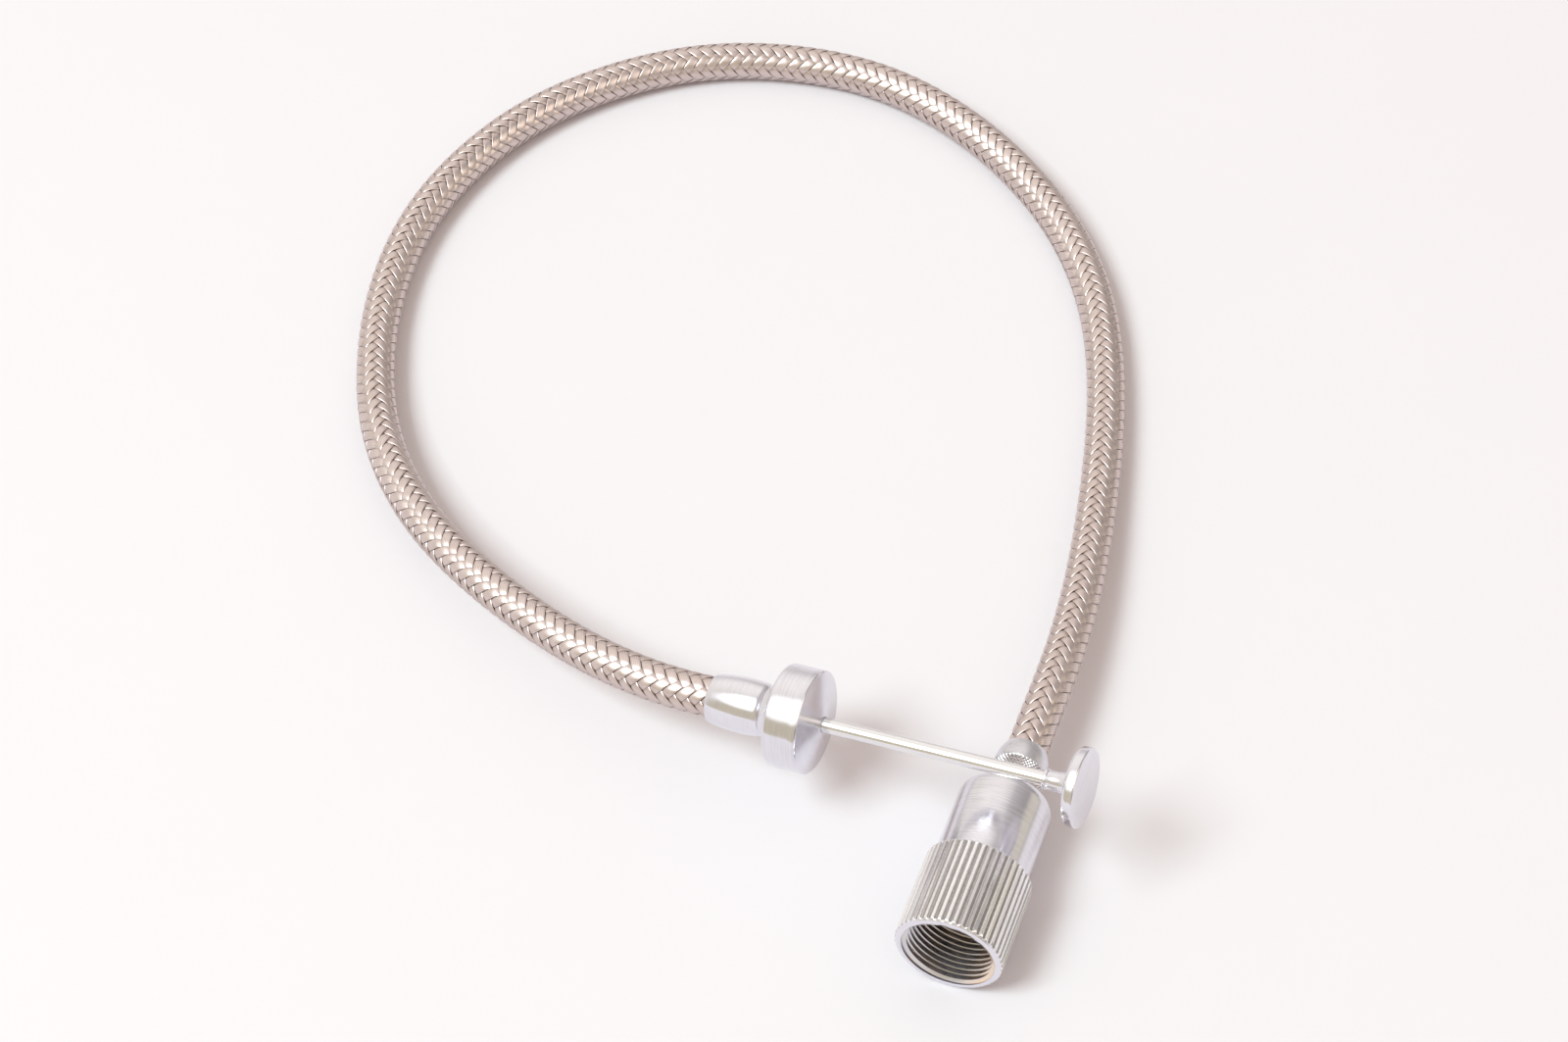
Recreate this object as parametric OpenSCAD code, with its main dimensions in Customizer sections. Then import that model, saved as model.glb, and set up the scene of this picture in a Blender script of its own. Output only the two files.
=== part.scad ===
// Cable shutter release with a screw-on bell end and a disc push button.
// Millimetres. The origin is the centre of the bell's mouth; the bell's axis
// is +Y, its mouth faces -Y, and the release lies on the plane z = -bell_d / 2.

/* [Bell] */
// Diameter of the bell over the crests of the grip
bell_d = 13; // [12.4:0.1:14.5]
// Length of the bell from the mouth to its rear face
bell_len = 23.8; // [22.5:0.1:28]
// Length of the fluted grip
grip_len = 11.7; // [9:0.1:13]
// Number of flutes round the grip
flute_count = 46; // [30:1:60]
// Depth of each flute
flute_depth = 0.2; // [0.1:0.02:0.34]
// Radius of the round cutter that makes a flute
flute_r = 0.28; // [0.24:0.02:0.5]
// Length of the bevel behind the grip
grip_bevel = 0.4; // [0.3:0.1:2]
// Bevel round the mouth
mouth_bevel = 0.3; // [0.1:0.05:0.5]
// Diameter of the smooth band behind the grip
band_d = 11.4; // [10.8:0.1:12]
// Radius of the rounded rear shoulder
dome_r = 2.4; // [0.8:0.1:2.8]
// Diameter of the thread bore in the mouth
thread_d = 10.8; // [9.8:0.1:11.2]
// Length of the threaded bore
thread_len = 8.5; // [6:0.1:9.5]
// Diameter of the chamber behind the thread
chamber_d = 9.2; // [8.8:0.1:10]
// Thickness of the rear wall that turns on the spindle
rear_wall = 2.8; // [1.6:0.1:3.4]

/* [Spindle] */
// Diameter of the journal that the bell turns on
journal_d = 3.8; // [3.4:0.1:4]
// Distance from the mouth to the spindle's nose
nose_inset = 10.2; // [9.9:0.1:12]
// Diameter of the retaining ring inside the bell
ring_d = 8.6; // [6.5:0.1:8.7]
// Thickness of the retaining ring
ring_t = 1; // [0.6:0.1:1.6]
// Diameter of the washer behind the bell
washer_d = 5.8; // [5:0.1:6.4]
// Thickness of the washer behind the bell
washer_t = 0.35; // [0.2:0.05:0.6]
// Thickness of the spindle's shoulder inside the collar
shoulder_t = 0.8; // [0.5:0.1:1.2]

/* [Neck collar] */
// Diameter of the knurled neck collar
collar_d = 6.5; // [6:0.1:7.4]
// Length of the neck collar
collar_len = 5.95; // [5:0.05:8]
// Length of the knurled band
collar_band = 3.3; // [2:0.1:3.6]
// Depth of the groove behind the knurled band
collar_groove = 0.12; // [0.05:0.01:0.2]
// Radius of the collar's rounded cable end
collar_round = 5; // [2.5:0.5:8]
// Wall left at the collar's rounded end
collar_lip = 0.15; // [0.1:0.05:0.3]
// Thickness of the collar's front wall
collar_wall = 1.2; // [0.8:0.1:1.6]

/* [Release pin] */
// Diameter of the release pin
pin_d = 1.9; // [1.6:0.05:2]
// Distance from the mouth to the tip of the pin at rest
tip_inset = 9; // [8:0.1:9.5]
// Length of the pin's hardened tip
tip_len = 0.9; // [0.6:0.05:1.2]
// Length of the tip's spigot inside the pin
tip_spigot = 1.2; // [0.6:0.1:2]

/* [Cable] */
// Outer diameter of the braided sheath
cable_d = 5.1; // [4.9:0.05:5.1]
// Wall of the braided sheath
sheath_wall = 0.5; // [0.4:0.05:0.6]
// Inner diameter of the wound conduit
conduit_id = 1.2; // [1:0.05:1.4]
// Diameter of the core wire
wire_d = 0.8; // [0.6:0.05:0.85]

/* [Handle] */
// Diameter of the finger flange
flange_d = 12.5; // [11:0.1:15]
// Thickness of the finger flange at its rim
flange_t = 4.4; // [3.4:0.1:5]
// Height of the shallow cone on the flange's front
flange_cone = 1; // [0.5:0.1:1.6]
// Width of the chamfer round the flange's front
flange_edge = 0.16; // [0.1:0.02:0.4]
// Radius of the flange's rounded rear edge
flange_round = 0.45; // [0.2:0.05:0.8]
// Diameter of the hub where it leaves the flange
hub_root_d = 8; // [7.4:0.1:10]
// Diameter of the hub at the ferrule
hub_d = 6.3; // [6.1:0.1:7.2]
// Diameter at the bottom of the groove between the hub and the ferrule
groove_d = 5.9; // [5.6:0.1:6]
// Length of the hub behind the flange
hub_len = 1.9; // [1.4:0.1:3.4]
// Thickness of the flange's front wall round the rod
front_wall = 0.5; // [0.4:0.05:0.8]
// Diameter of the crowned ferrule at its widest place
ferrule_d = 6.7; // [6.4:0.05:7.2]
// Length of the crowned ferrule
ferrule_len = 7; // [5.8:0.1:9]
// Radius of the ferrule's barrel-shaped side
ferrule_crown_r = 20; // [16:0.5:40]
// Distance from the ferrule's cable end to its widest place
ferrule_crown_at = 4.2; // [3:0.1:5]
// Radius of the ferrule's rounded end beside the hub
ferrule_round = 1.2; // [0.6:0.05:1.6]
// Depth to which the sheath enters the ferrule
sheath_grip = 4.6; // [3:0.1:5]

/* [Plunger] */
// Diameter of the plunger rod
rod_d = 1.8; // [1.4:0.05:2]
// Length of rod that shows between the flange and the button
rod_show = 27.7; // [24:0.1:30]
// Bore of the plunger rod, which takes the core wire
rod_bore = 1; // [0.9:0.05:1.1]
// Stroke of the plunger
stroke = 14; // [10:0.1:14.1]
// Diameter of the stop collar on the rod
stop_d = 3.3; // [2.6:0.05:3.4]
// Thickness of the stop collar
stop_t = 1; // [0.6:0.1:1.1]
// Rod that reaches past the stop collar
rod_tail = 2.9; // [1.5:0.1:4]

/* [Push button] */
// Diameter of the thumb button
button_d = 9.5; // [8:0.1:9.6]
// Thickness of the thumb button's rim
button_t = 1.5; // [1.1:0.05:2.2]
// Radius of the rounded rear edge of the button
button_round = 0.6; // [0.3:0.05:0.75]
// Radius of the edge round the button's face
face_round = 0.25; // [0.1:0.05:0.5]
// Length of the button's sleeve
sleeve_len = 3.5; // [3:0.1:6]
// Diameter of the button's sleeve behind its lip
sleeve_d = 2.3; // [2.24:0.02:2.8]
// Diameter of the sleeve where it meets the disc
sleeve_root_d = 3.1; // [2.6:0.1:4]
// Diameter of the lip on the sleeve's end
lip_d = 2.5; // [2.4:0.05:3.2]
// Length of the lip
lip_len = 0.4; // [0.2:0.05:0.8]
// Radius of the fillet under the disc
flare_r = 0.4; // [0.2:0.05:0.8]

/* [Spring housing] */
// Outer diameter of the spring tube inside the handle and the cable
tube_d = 4; // [3.8:0.05:4]
// Wall of the spring tube
tube_wall = 0.25; // [0.2:0.05:0.3]
// Length of the spring chamber
chamber_len = 19.3; // [18.9:0.1:21]
// Thickness of the spring seat
seat_t = 0.6; // [0.4:0.1:1]
// Wire diameter of the return spring
spring_wire = 0.3; // [0.2:0.02:0.32]
// Coils of the return spring
spring_turns = 12; // [8:1:12]
// Outer diameter of the return spring
spring_od = 3.2; // [2.8:0.05:3.3]

/* [Hidden] */
$fn = 64;

// running clearance of a shaft, and the gap of a piece that is seated
run_gap = 0.05;
seat_gap = 0.02;
// end play of the bell, and the play left before the stops meet
end_play = 0.08;
stop_play = 0.1;
// wire left inside a telescoping tube at the end of its stroke
lap = 1.5;
// room for the conduit's end, which turns with the cable behind the spring tube
bend_play = 0.25;
// how far a cutter passes the face that it cuts
over = 1;

// where the handle is held, and which way its rod points
handle_at = [-23.2, 20.8, 7.5];
handle_tilt = 8.5;
handle_yaw = -3.5;

// stations along the bell's axis, from the mouth
wall_front = bell_len - rear_wall;
washer_at = bell_len + end_play;
collar_at = washer_at + washer_t + seat_gap;
shoulder_at = collar_at + collar_wall + seat_gap;
sheath_front = shoulder_at + shoulder_t + seat_gap;
collar_rear = collar_at + collar_len;
spindle_rear = collar_rear;
conduit_front = spindle_rear + seat_gap;
pin_rear = spindle_rear - stop_play;
wire_front = pin_rear - stroke - lap;
ring_rear = wall_front - end_play;

// stations along the handle's axis, behind the flange's front rim
cavity_front = front_wall;
hub_rear = flange_t + hub_len;
ferrule_rear = hub_rear + ferrule_len;
sheath_rear = ferrule_rear - sheath_grip;
seat_at = cavity_front + chamber_len;
tube_rear = seat_at + seat_t;
conduit_rear = tube_rear + bend_play;
stop_at = cavity_front + stop_play;
spring_front = stop_at + stop_t + seat_gap;
spring_len = seat_at - seat_gap - spring_front;
tail_at = stop_at + stop_t + rod_tail;
wire_rear = tail_at - lap;

// stations along the rod, ahead of the flange's front rim
sleeve_at = flange_cone + rod_show;
disc_at = sleeve_at + sleeve_len;
face_at = disc_at + button_t;
rod_tip = face_at - button_t * 0.6;

// radii that follow from the sizes
bore_in_cable = cable_d - 2 * sheath_wall;
plug_r = min(tube_d, bore_in_cable) / 2 - seat_gap;
conduit_r = bore_in_cable / 2 - 3 * seat_gap;
journal_hole_r = journal_d / 2 + run_gap;
journal_seat_r = journal_d / 2 + seat_gap;
cable_hole_r = cable_d / 2 + 2 * seat_gap;
spring_r = (spring_od - spring_wire) / 2;

// the cable rests on the plane that the bell rests on
rest_z = (cable_d - bell_d) / 2;
// straight run out of the neck collar before the cable bends
neck_run = 5.8;

module along_bell(s) {
    rotate([-90, 0, 0])
        translate([0, 0, s])
            children();
}

// local +Z points along the rod to the button; h is measured back from the rim
module on_handle(h) {
    translate(handle_at)
        rotate([0, 0, handle_yaw])
            rotate([0, 90 - handle_tilt, 0])
                translate([0, 0, -h])
                    children();
}

// turned pieces are drawn with the radius along x and the station along y
module turned() {
    rotate_extrude()
        children();
}

module box2(r0, r1, s0, s1) {
    translate([r0, s0])
        square([r1 - r0, s1 - s0]);
}

// ---- bell end ----

module bell_outline() {
    crest = bell_d / 2;
    band = band_d / 2;
    polygon([[0, 0], [crest - mouth_bevel, 0], [crest, mouth_bevel], [crest, grip_len],
        [band, grip_len + grip_bevel], [band, bell_len - dome_r], [0, bell_len - dome_r]]);
    box2(0, band - dome_r, bell_len - dome_r - over, bell_len);
    translate([band - dome_r, bell_len - dome_r])
        circle(r = dome_r);
}

module bell_hollow() {
    box2(-over, thread_d / 2, -over, thread_len);
    box2(-over, chamber_d / 2, thread_len - over, wall_front);
    box2(-over, journal_hole_r, wall_front - over, bell_len + over);
}

module flutes() {
    pitch_r = bell_d / 2 - flute_depth + flute_r;
    for (i = [0 : flute_count - 1])
        rotate(i * 360 / flute_count)
            translate([pitch_r, 0])
                circle(r = flute_r, $fn = 24);
}

module screw_bell() {
    color("silver")
        along_bell(0)
            difference() {
                turned()
                    intersection() {
                        difference() {
                            bell_outline();
                            bell_hollow();
                        }
                        box2(0, bell_d, -over, bell_len + over);
                    }
                translate([0, 0, -over])
                    linear_extrude(grip_len + grip_bevel + over)
                        flutes();
            }
}

module retaining_ring() {
    color("goldenrod")
        along_bell(0)
            turned()
                difference() {
                    box2(journal_seat_r, ring_d / 2, ring_rear - ring_t, ring_rear);
                    translate([ring_d / 2, ring_rear - ring_t])
                        rotate(45)
                            square(ring_t * 0.35, center = true);
                }
}

module bell_spindle() {
    nose_bevel = 0.3;
    color("tan")
        along_bell(0)
            turned()
                difference() {
                    union() {
                        box2(0, journal_d / 2, nose_inset, shoulder_at + seat_gap);
                        box2(0, cable_hole_r - 2 * seat_gap, shoulder_at, shoulder_at + shoulder_t);
                        box2(0, plug_r, shoulder_at, spindle_rear);
                    }
                    box2(-over, pin_d / 2 + run_gap, nose_inset - over, spindle_rear + over);
                    polygon([[journal_d / 2 - nose_bevel, nose_inset - seat_gap],
                        [journal_d / 2 + nose_bevel, nose_inset - seat_gap],
                        [journal_d / 2 + nose_bevel, nose_inset + nose_bevel * 2]]);
                }
}

module neck_washer() {
    color("dimgray")
        along_bell(0)
            turned()
                box2(journal_seat_r, washer_d / 2, washer_at, washer_at + washer_t);
}

module neck_collar() {
    outer = collar_d / 2;
    round_in = outer - collar_round;
    round_at = collar_len - sqrt(pow(collar_round, 2) - pow(cable_hole_r + collar_lip - round_in, 2));
    color("lightsteelblue")
        along_bell(collar_at)
            turned()
                difference() {
                    union() {
                        box2(0, outer, 0, round_at);
                        intersection() {
                            translate([round_in, round_at])
                                circle(r = collar_round);
                            box2(0, outer, 0, collar_len);
                        }
                    }
                    box2(-over, journal_seat_r, -over, collar_len + over);
                    box2(-over, cable_hole_r, collar_wall, collar_len + over);
                    translate([outer, collar_band])
                        circle(r = collar_groove, $fn = 24);
                }
}

module push_pin() {
    color("gainsboro")
        along_bell(0)
            turned()
                box2(rod_bore / 2, pin_d / 2, tip_inset + tip_len + seat_gap, pin_rear);
}

module pin_tip() {
    color("whitesmoke")
        along_bell(tip_inset)
            turned()
                union() {
                    box2(0, pin_d / 2, pin_d / 4, tip_len);
                    intersection() {
                        translate([0, pin_d * 5 / 8])
                            circle(r = pin_d * 5 / 8);
                        box2(0, pin_d / 2, 0, tip_len);
                    }
                    box2(0, rod_bore / 2 - seat_gap, 0, tip_len + tip_spigot);
                }
}

// ---- cable ----

function unit(v) = v / norm(v);
function handle_dir() = [cos(handle_tilt) * cos(handle_yaw), cos(handle_tilt) * sin(handle_yaw),
    sin(handle_tilt)];
function handle_point(h) = handle_at - h * handle_dir();

// the cable's free run, from the handle to the neck, near 12.5 mm apart
free_run = [[-54.7, 25.2, 2.75], [-66.1, 30.2, 1.05], [-76.9, 36.6, -0.6], [-86.4, 44.6, -2],
    [-94.1, 54.5, -3.05], [-99.5, 65.7, -3.65], [-102.9, 77.8, rest_z], [-103.8, 90.2, rest_z],
    [-101.7, 102.5, rest_z], [-96.7, 114, rest_z], [-88.7, 123.9, rest_z], [-78.6, 131.4, rest_z],
    [-66.7, 135.6, rest_z], [-54.1, 136.2, rest_z], [-42, 132.7, rest_z], [-31, 126.2, rest_z],
    [-21.6, 117.6, rest_z], [-14.4, 107.3, rest_z], [-9.4, 95.7, rest_z + 0.1],
    [-5.9, 83.4, rest_z + 0.4], [-3.3, 71, rest_z + 1], [-1.3, 58.5, -1.9], [-0.2, 46, -0.7]];
neck_bend = [0, collar_rear + neck_run, 0];

// a route from one station behind the flange to one station behind the bell:
// straight out of both metal ends, with the same stations for every nested layer
function route(h, s) = concat(h < conduit_rear ? [handle_point(h)] : [],
    [handle_point(conduit_rear)], free_run, [neck_bend, [0, s, 0]]);
// k counts from the station where the cable starts to bend
function heading(p, i) = let (k = i + len(free_run) + 3 - len(p))
    k < 0 ? -handle_dir()
    : k == 0 ? unit(unit(p[i + 1] - p[i]) - handle_dir())
    : i >= len(p) - 2 ? [0, -1, 0]
    : unit(unit(p[i + 1] - p[i]) + unit(p[i] - p[i - 1]));
function side(t) = unit(cross(t, [0, 0, 1]));
function ring(c, t, r, sides) = [for (k = [0 : sides - 1])
    c + r * (cos(k * 360 / sides) * side(t) + sin(k * 360 / sides) * cross(side(t), t))];
function rings(p, r, sides) = [for (i = [0 : len(p) - 1]) each ring(p[i], heading(p, i), r, sides)];
function wall_faces(n, sides, at, flip) = [for (i = [0 : n - 2], k = [0 : sides - 1], half = [0, 1])
    let (a = at + i * sides + k, b = at + i * sides + (k + 1) % sides, c = a + sides, d = b + sides,
        f = half == 0 ? [a, b, d] : [a, d, c])
    flip ? [f[2], f[1], f[0]] : f];
function end_faces(outer, inner, sides, flip) = [for (k = [0 : sides - 1], half = [0, 1])
    let (m = (k + 1) % sides, f = half == 0 ? [outer + k, inner + k, inner + m]
        : [outer + k, inner + m, outer + m])
    flip ? [f[2], f[1], f[0]] : f];
function cap(at, sides, flip) = [for (k = [1 : sides - 2])
    flip ? [at, at + k + 1, at + k] : [at, at + k, at + k + 1]];

// swept tube: the bore's flats stand outside bore_r, so a round plug fits it
module swept_tube(p, r, bore_r, sides) {
    n = len(p);
    far = (n - 1) * sides;
    inner = n * sides;
    polyhedron(
        concat(rings(p, r, sides), rings(p, bore_r / cos(180 / sides), sides)),
        concat(wall_faces(n, sides, 0, false), wall_faces(n, sides, inner, true),
            end_faces(0, inner, sides, false), end_faces(far, inner + far, sides, true)),
        convexity = 10);
}

module swept_rod(p, r, sides) {
    n = len(p);
    polyhedron(rings(p, r, sides),
        concat(wall_faces(n, sides, 0, false), cap(0, sides, true),
            cap((n - 1) * sides, sides, false)),
        convexity = 10);
}

module braided_sheath() {
    color("khaki")
        swept_tube(route(sheath_rear + seat_gap, sheath_front), cable_d / 2, bore_in_cable / 2, 12);
}

module wire_conduit() {
    color("gray")
        swept_tube(route(conduit_rear, conduit_front), conduit_r, conduit_id / 2, 12);
}

module core_wire() {
    color("orange")
        swept_rod(route(wire_rear, wire_front), wire_d / 2, 8);
}

// ---- handle ----

module handle_ferrule() {
    outer = ferrule_d / 2;
    round_in = outer - ferrule_round;
    round_at = ferrule_len - sqrt(pow(ferrule_round, 2) - pow(groove_d / 2 - round_in, 2));
    color("lightsteelblue")
        on_handle(ferrule_rear)
            turned()
                difference() {
                    intersection() {
                        translate([outer - ferrule_crown_r, ferrule_crown_at])
                            circle(r = ferrule_crown_r, $fn = 128);
                        union() {
                            box2(0, outer, 0, round_at);
                            intersection() {
                                translate([round_in, round_at])
                                    circle(r = ferrule_round);
                                box2(0, outer, 0, ferrule_len);
                            }
                        }
                    }
                    box2(-over, cable_hole_r, -over, sheath_grip);
                    box2(-over, plug_r + seat_gap, -over, ferrule_len + over);
                    box2(-outer * 9, 0, -over, ferrule_len + over);
                }
}

module finger_flange() {
    rim = flange_d / 2;
    flare = hub_len * 1.15;
    groove = (hub_d - groove_d) / 2;
    cone_r = rod_d * 0.72;
    color("silver")
        on_handle(hub_rear)
            turned()
                difference() {
                    union() {
                        box2(0, rim, hub_len + flange_round, hub_rear);
                        box2(0, rim - flange_round, hub_len, hub_rear);
                        translate([rim - flange_round, hub_len + flange_round])
                            circle(r = flange_round);
                        polygon([[0, hub_rear - over], [rim - flange_edge, hub_rear - over],
                            [rim - flange_edge, hub_rear], [cone_r, hub_rear + flange_cone],
                            [0, hub_rear + flange_cone]]);
                        difference() {
                            box2(0, hub_root_d / 2, groove, hub_len + flange_round);
                            translate([hub_d / 2 + flare, hub_len - flare])
                                circle(r = flare);
                            box2(hub_d / 2, rim, -over, hub_len - flare);
                        }
                        polygon([[0, 0], [groove_d / 2, 0], [hub_d / 2, groove], [0, groove]]);
                    }
                    box2(-over, rod_d / 2 + run_gap, -over, hub_rear + flange_cone + over);
                    box2(-over, plug_r + seat_gap, -over, hub_rear - cavity_front);
                    box2(-rim, 0, -over, hub_rear + flange_cone + over);
                    translate([rim, hub_rear])
                        rotate(45)
                            square(flange_edge * sqrt(2), center = true);
                }
}

module spring_tube() {
    color("darkkhaki")
        on_handle(tube_rear)
            turned()
                box2(plug_r - tube_wall, plug_r, 0, tube_rear - cavity_front - seat_gap);
}

module spring_seat() {
    color("dimgray")
        on_handle(tube_rear)
            turned()
                box2(conduit_id / 2, plug_r - tube_wall - seat_gap, 0, seat_t);
}

// the spring is one unbroken wire, so its ring of sides is carried along a helix
module return_spring() {
    steps = spring_turns * 8;
    rise = spring_len - spring_wire;
    points = [for (i = [0 : steps]) let (a = i * 45)
        [spring_r * cos(a), spring_r * sin(a), spring_wire / 2 + rise * i / steps]];
    wire = [for (i = [0 : steps], k = [0 : 5]) let (a = i * 45, out = [cos(a), sin(a), 0])
        points[i] + spring_wire / 2 * (cos(k * 60 + 30) * out + sin(k * 60 + 30) * [0, 0, 1])];
    color("orangered")
        on_handle(seat_at - seat_gap)
            polyhedron(wire, concat(wall_faces(steps + 1, 6, 0, false), cap(0, 6, true),
                cap(steps * 6, 6, false)), convexity = 10);
}

module stop_collar() {
    color("gold")
        on_handle(stop_at + stop_t)
            turned()
                box2(rod_d / 2 + seat_gap, stop_d / 2, 0, stop_t);
}

module plunger_rod() {
    depth = stroke + lap + over;
    color("gainsboro")
        on_handle(tail_at)
            turned()
                difference() {
                    box2(0, rod_d / 2, 0, tail_at + rod_tip);
                    box2(-over, rod_bore / 2, -over, depth);
                }
}

module thumb_button() {
    rim = button_d / 2;
    root = sleeve_root_d / 2;
    face = sleeve_len + button_t;
    color("silver")
        on_handle(-sleeve_at)
            turned()
                difference() {
                    union() {
                        box2(0, lip_d / 2, 0, lip_len);
                        polygon([[0, 0], [sleeve_d / 2, 0], [sleeve_d / 2, lip_len],
                            [root, sleeve_len], [0, sleeve_len]]);
                        difference() {
                            box2(0, root + flare_r, sleeve_len - flare_r, sleeve_len + button_round);
                            translate([root + flare_r, sleeve_len - flare_r])
                                circle(r = flare_r);
                        }
                        box2(0, rim - button_round, sleeve_len, face);
                        box2(0, rim, sleeve_len + button_round, face - face_round);
                        translate([rim - button_round, sleeve_len + button_round])
                            circle(r = button_round);
                        box2(0, rim - face_round, sleeve_len + button_round, face);
                        translate([rim - face_round, face - face_round])
                            circle(r = face_round);
                    }
                    box2(-over, rod_d / 2 + seat_gap, -over, rod_tip - sleeve_at + seat_gap);
                    box2(-rim, 0, -over, face + over);
                }
}

screw_bell();
bell_spindle();
retaining_ring();
neck_washer();
neck_collar();
push_pin();
pin_tip();
braided_sheath();
wire_conduit();
core_wire();
handle_ferrule();
finger_flange();
spring_tube();
spring_seat();
return_spring();
stop_collar();
plunger_rod();
thumb_button();
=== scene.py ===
import bmesh
import bpy
import math
import numpy as np
from mathutils import Matrix, Vector


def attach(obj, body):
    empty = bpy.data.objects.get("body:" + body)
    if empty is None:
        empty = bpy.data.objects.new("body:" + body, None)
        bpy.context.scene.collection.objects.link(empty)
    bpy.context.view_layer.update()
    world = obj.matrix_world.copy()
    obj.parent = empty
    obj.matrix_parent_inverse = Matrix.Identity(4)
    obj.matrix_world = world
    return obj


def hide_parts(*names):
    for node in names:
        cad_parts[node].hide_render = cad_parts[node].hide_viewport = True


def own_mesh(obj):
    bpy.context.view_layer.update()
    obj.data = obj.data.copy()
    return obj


# Cable shutter release: a fluted screw-on bell, a braided cable and a plunger handle.
# Sizes are in mm and angles in radians, unless a comment says otherwise. Blender gets metres, through MM.
# Bell and neck: stations run along +Y from the bell's mouth.
# Handle: stations run along the rod, from the flange's front rim to the button.

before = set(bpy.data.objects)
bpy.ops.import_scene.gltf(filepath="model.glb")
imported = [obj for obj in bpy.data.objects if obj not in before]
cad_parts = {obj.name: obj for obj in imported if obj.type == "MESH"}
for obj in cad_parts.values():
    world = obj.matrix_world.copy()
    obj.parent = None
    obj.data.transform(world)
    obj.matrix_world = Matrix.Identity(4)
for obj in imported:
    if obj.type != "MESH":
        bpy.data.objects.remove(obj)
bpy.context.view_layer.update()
MM = 0.001
TURN = 2 * math.pi
scene = bpy.context.scene

# ------------------------------------------------------------------ camera, fitted to the photo, in metres
CAM_AT = np.array([0.06471, -0.23870, 0.37700])
CAM_FORWARD = np.array([-0.21233, 0.59960, -0.77162])
CAM_RIGHT = np.array([0.942641, 0.333807, 0.0])
CAM_LENS, CAM_SENSOR = 90.0, 36.0  # mm
CAM_CLIP = (0.01, 20.0)

# ------------------------------------------------------------------ sizes and places
# Bell: stations behind its mouth
BELL_D, BELL_LEN, BAND_R, DOME_R = 13.0, 23.8, 5.7, 2.4
GRIP_LEN, GRIP_BEVEL = 11.7, 0.4
FLUTES, FLUTE_DEPTH, FLUTE_R = 46, 0.2, 0.28  # FLUTE_R is the cutter's radius
THREAD_PITCH, THREAD_ROOT_R, THREAD_CREST_R, THREAD_LEN = 0.75, 5.65, 5.24, 8.5
CHAMBER_R, CHAMBER_END, SPINDLE_HOLE_R = 4.6, 21.0, 1.95
BELL_R = BELL_D / 2
EDGE = 0.04  # how far the bevels' sharp edges are broken
GRIP_END = GRIP_LEN + GRIP_BEVEL + EDGE

# Neck collar: stations behind the bell's mouth
COLLAR_R, COLLAR_AT, COLLAR_REAR, COLLAR_ROUND, LIP_R = 3.25, 24.25, 30.2, 5.0, 2.74
KNURLS, KNURL_LEN, KNURL_DEPTH = 44, 3.05, 0.13
SHEATH_HOLE_R, SHEATH_HOLE_END, CONDUIT_HOLE_R = 2.6, 25.5, 1.92

# Cable
CABLE_D = 5.1
REST_Z = (CABLE_D - BELL_D) / 2
NECK_RUN = 5.8  # how far it stays straight behind the collar
SHEATH_FRONT, CONDUIT_FRONT, WIRE_FRONT = 26.29, 30.22, 14.6  # stations in the bell and neck
SHEATH_REAR, CONDUIT_REAR, WIRE_REAR, BEND_AT = 8.72, 20.65, 3.0, 15.6  # distances behind the flange's front rim
FREE_RUN = [(-54.7, 25.2, 2.75), (-66.1, 30.2, 1.05), (-76.9, 36.6, -0.6), (-86.4, 44.6, -2),
            (-94.1, 54.5, -3.05), (-99.5, 65.7, -3.65), (-102.9, 77.8, REST_Z), (-103.8, 90.2, REST_Z),
            (-101.7, 102.5, REST_Z), (-96.7, 114, REST_Z), (-88.7, 123.9, REST_Z), (-78.6, 131.4, REST_Z),
            (-66.7, 135.6, REST_Z), (-54.1, 136.2, REST_Z), (-42, 132.7, REST_Z), (-31, 126.2, REST_Z),
            (-21.6, 117.6, REST_Z), (-14.4, 107.3, REST_Z), (-9.4, 95.7, REST_Z + 0.1),
            (-5.9, 83.4, REST_Z + 0.4), (-3.3, 71, REST_Z + 1), (-1.3, 58.5, -1.9), (-0.2, 46, -0.7)]
LINE_STEP = 0.2

# Braid, conduit and core wire
PITCH = 13.44  # length of one turn of a strand
STRANDS = 8  # wound each way
R_MID, LIFT = 2.26, 0.17
WIDE, THICK, WIRES = 1.2, 0.10, 6
STRAND_STEP = 0.28
# The weave's rows turn slowly round the cable, as in the photo: (arc in mm, turn in degrees)
BRAID_TWIST = [(44.6, -8), (94.6, -24), (171, -1), (252, 26), (313, 24)]
COIL_PITCH, CONDUIT_R, COIL_DEPTH, WIRE_R = 0.9, 1.88, 0.06, 0.4

# Handle: stations from the flange's front rim, towards the button
HANDLE_AT = np.array([-23.2, 20.8, 7.5])  # the rod's axis at the flange's front rim
TILT, YAW = math.radians(8.5), math.radians(-3.5)
ROD_DIR = np.array([math.cos(TILT) * math.cos(YAW), math.cos(TILT) * math.sin(YAW), math.sin(TILT)])
FLANGE_R, FLANGE_LEN, FLANGE_ROUND, FACE_RISE = 6.25, 4.4, 0.45, 0.97
HUB_R, HUB_END, HUB_CURVE, HUB_CURVE_R = 4.0, -6.3, (5.335, -6.585), 2.185  # HUB_CURVE is the curve's centre
FERRULE_R, FERRULE_FRONT, FERRULE_REAR, CROWN_R, CROWN_AT = 3.35, -6.32, -13.3, 20.0, -9.1
SPRING_TUBE_R, ROD_HOLE_R, SHEATH_SEAT = 2.0, 0.95, -8.7
ROD_R, ROD_REAR, ROD_FRONT, WIRE_HOLE_R, WIRE_HOLE_END = 0.9, -4.5, 32.7, 0.5, 12.0
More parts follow.
